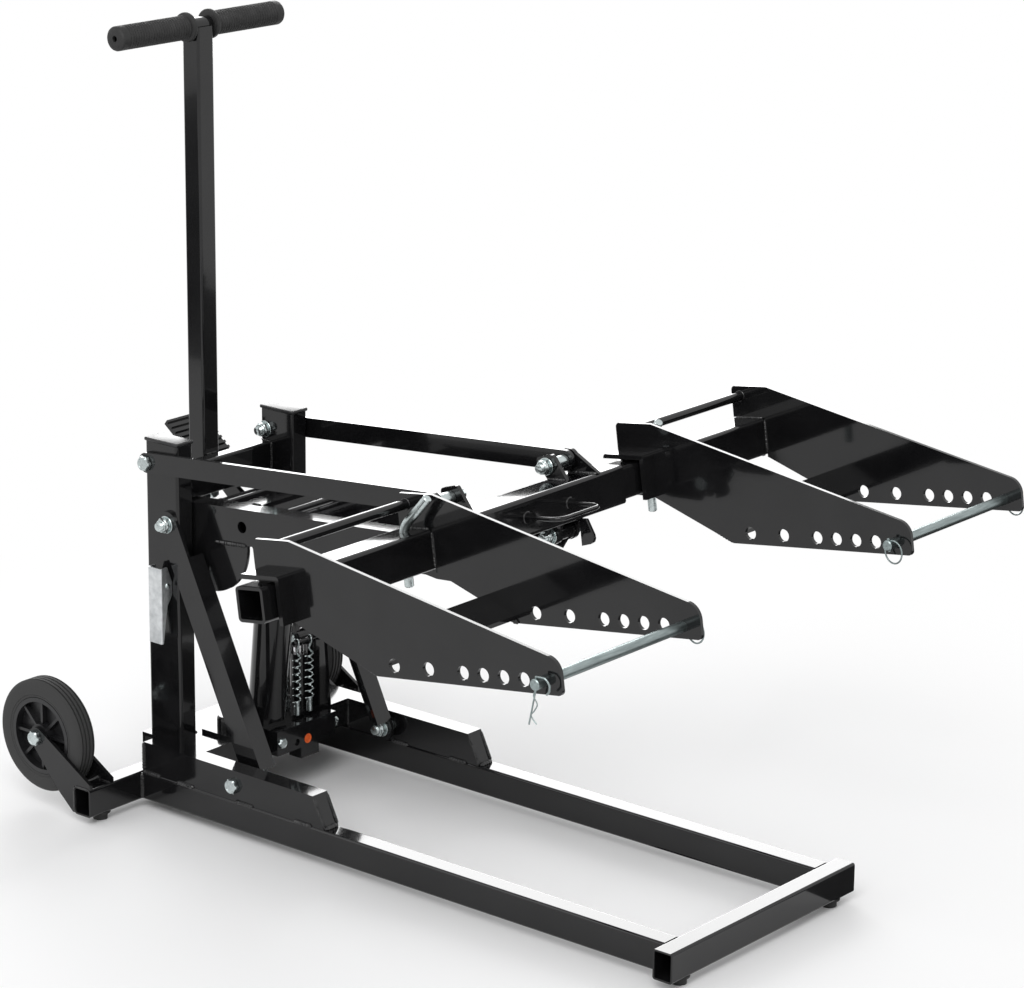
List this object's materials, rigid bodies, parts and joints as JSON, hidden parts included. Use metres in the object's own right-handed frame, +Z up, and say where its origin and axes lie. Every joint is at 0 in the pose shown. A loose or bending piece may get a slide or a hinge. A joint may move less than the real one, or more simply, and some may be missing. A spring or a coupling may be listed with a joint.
{
  "type": "lawn mower lift",
  "caption": "Jack-operated lift with two wheel pans on a sliding beam, carried by parallel arms on a wheeled floor frame with a T-handle",
  "frame": {"origin": "centre of the bounding box across X and Y, at the floor under the feet", "axes": "+X across the machine towards the foot pedal's side, -Y the front with the wheel pans, +Z up"},
  "size_m": [1.026, 1.1409, 1.073],
  "materials": {
    "black_paint": "semi-gloss black powder coat",
    "zinc_plate": "bright zinc plate",
    "ground_steel": "ground steel",
    "black_rubber": "matt moulded rubber",
    "tyre_rubber": "matt black tread",
    "black_plastic": "moulded black plastic"
  },
  "bodies": {
    "base": {"front_cross_tube": "black_paint", "rear_cross_tube": "black_paint", "rails": "black_paint", "stiffeners": "black_paint", "feet": "black_rubber", "base_channel": "black_paint", "uprights": "black_paint", "upright_caps": "black_plastic", "upper_cross_member": "black_paint", "handle_pole": "black_paint", "handle_bar": "black_paint", "grips": "black_rubber", "braces": "black_paint", "frame_bolts": "zinc_plate", "fork_plates": "black_paint", "axle_bolts": "zinc_plate", "arm_pivot_bolts": "zinc_plate", "link_pivot_bolts": "zinc_plate", "jack_plate": "black_paint", "jack_seat": "black_paint", "jack_cylinder": "black_paint", "valve_block": "black_paint", "valve_fittings": "zinc_plate", "pump_body": "black_paint", "lever_bracket": "black_paint", "return_springs": "zinc_plate", "pump_fasteners": "zinc_plate", "lock_lever_mount": "zinc_plate"},
    "wheel_left": {"tyre_left": "tyre_rubber", "hub_left": "black_plastic"},
    "wheel_right": {"tyre_right": "tyre_rubber", "hub_right": "black_plastic"},
    "arms": {"lower_arms": "black_paint", "arm_gussets": "black_paint", "arm_ties": "black_paint", "lift_shaft": "ground_steel"},
    "links": {"upper_links": "black_paint"},
    "carriage": {"beam_centre_tube": "black_paint", "beam_inner_tube": "black_paint", "upper_ears": "black_paint", "lower_ears": "black_paint", "front_pivot_bolts": "zinc_plate", "tie_down_loop": "black_paint"},
    "pan_left": {"pan_sleeve_left": "black_paint", "pan_plates_left": "black_paint", "pan_cross_bars_left": "black_paint", "pan_collar_left": "black_paint"},
    "front_rod_left": {"pan_front_rod_left": "zinc_plate"},
    "lock_pin_left": {"lock_pin_left": "zinc_plate"},
    "pan_right": {"pan_sleeve_right": "black_paint", "pan_plates_right": "black_paint", "pan_cross_bars_right": "black_paint", "pan_collar_right": "black_paint"},
    "front_rod_right": {"pan_front_rod_right": "zinc_plate"},
    "lock_pin_right": {"lock_pin_right": "zinc_plate"},
    "ram": {"jack_ram": "ground_steel"},
    "pedal": {"pedal_lever": "black_paint", "pedal": "black_paint"},
    "plunger": {"pump_plunger": "ground_steel"},
    "lock_lever": {"lock_lever": "zinc_plate"}
  },
  "joints": [
    {"name": "lift", "type": "hinge", "parent": "base", "child": "arms", "pos_m": [-0.016, 0.37019, 0.399], "axis": [-1, 0, 0], "range_deg": [-45.5, 24]},
    {"name": "link_swing", "type": "hinge", "parent": "base", "child": "links", "pos_m": [-0.016, 0.40459, 0.47935], "axis": [-1, 0, 0], "range_deg": [-45.5, 24]},
    {"name": "carriage_level", "type": "hinge", "parent": "arms", "child": "carriage", "pos_m": [-0.016, -0.13881, 0.442], "axis": [-1, 0, 0], "range_deg": [-24, 45.5]},
    {"name": "ram_slide", "type": "slide", "parent": "base", "child": "ram", "axis": [0, -0.0943, 0.9955], "range_m": [-0.06522, 0.03445]},
    {"name": "wheel_left_spin", "type": "hinge", "parent": "base", "child": "wheel_left", "pos_m": [-0.2663, 0.48819, 0.104], "axis": [1, 0, 0], "continuous": true},
    {"name": "wheel_right_spin", "type": "hinge", "parent": "base", "child": "wheel_right", "pos_m": [0.2343, 0.48819, 0.104], "axis": [1, 0, 0], "continuous": true},
    {"name": "pedal_press", "type": "hinge", "parent": "base", "child": "pedal", "pos_m": [0.034, 0.30619, 0.206], "axis": [-1, 0, 0], "range_deg": [0, 14], "stiffness_Nm_per_rad": 10, "springref_deg": -22.92},
    {"name": "plunger_slide", "type": "slide", "parent": "base", "child": "plunger", "axis": [0, 0, -1], "range_m": [0, 0.0072]},
    {"name": "lock_lever_swing", "type": "hinge", "parent": "base", "child": "lock_lever", "pos_m": [-0.1535, 0.38619, 0.314], "axis": [0, 1, 0], "range_deg": [0, 20]},
    {"name": "pan_left_slide", "type": "slide", "parent": "carriage", "child": "pan_left", "axis": [1, 0, 0], "range_m": [-0.1, 0]},
    {"name": "front_rod_left_spin", "type": "hinge", "parent": "pan_left", "child": "front_rod_left", "pos_m": [-0.341, -0.54563, 0.47177], "axis": [1, 0, 0], "continuous": true},
    {"name": "lock_pin_left_pull", "type": "slide", "parent": "pan_left", "child": "lock_pin_left", "axis": [0, 0.1426, 0.9898], "range_m": [0, 0.075]},
    {"name": "pan_right_slide", "type": "slide", "parent": "carriage", "child": "pan_right", "axis": [1, 0, 0], "range_m": [-0.031, 0.1]},
    {"name": "front_rod_right_spin", "type": "hinge", "parent": "pan_right", "child": "front_rod_right", "pos_m": [0.362, -0.54563, 0.47177], "axis": [1, 0, 0], "continuous": true},
    {"name": "lock_pin_right_pull", "type": "slide", "parent": "pan_right", "child": "lock_pin_right", "axis": [0, 0.1426, 0.9898], "range_m": [0, 0.075]}
  ],
  "couplings": [
    {"joint": "link_swing", "follows": "lift", "ratio": 1},
    {"joint": "carriage_level", "follows": "lift", "ratio": -1},
    {"joint": "ram_slide", "follows": "lift", "m_per_rad": 0.082},
    {"joint": "plunger_slide", "follows": "pedal_press", "m_per_rad": 0.029}
  ]
}
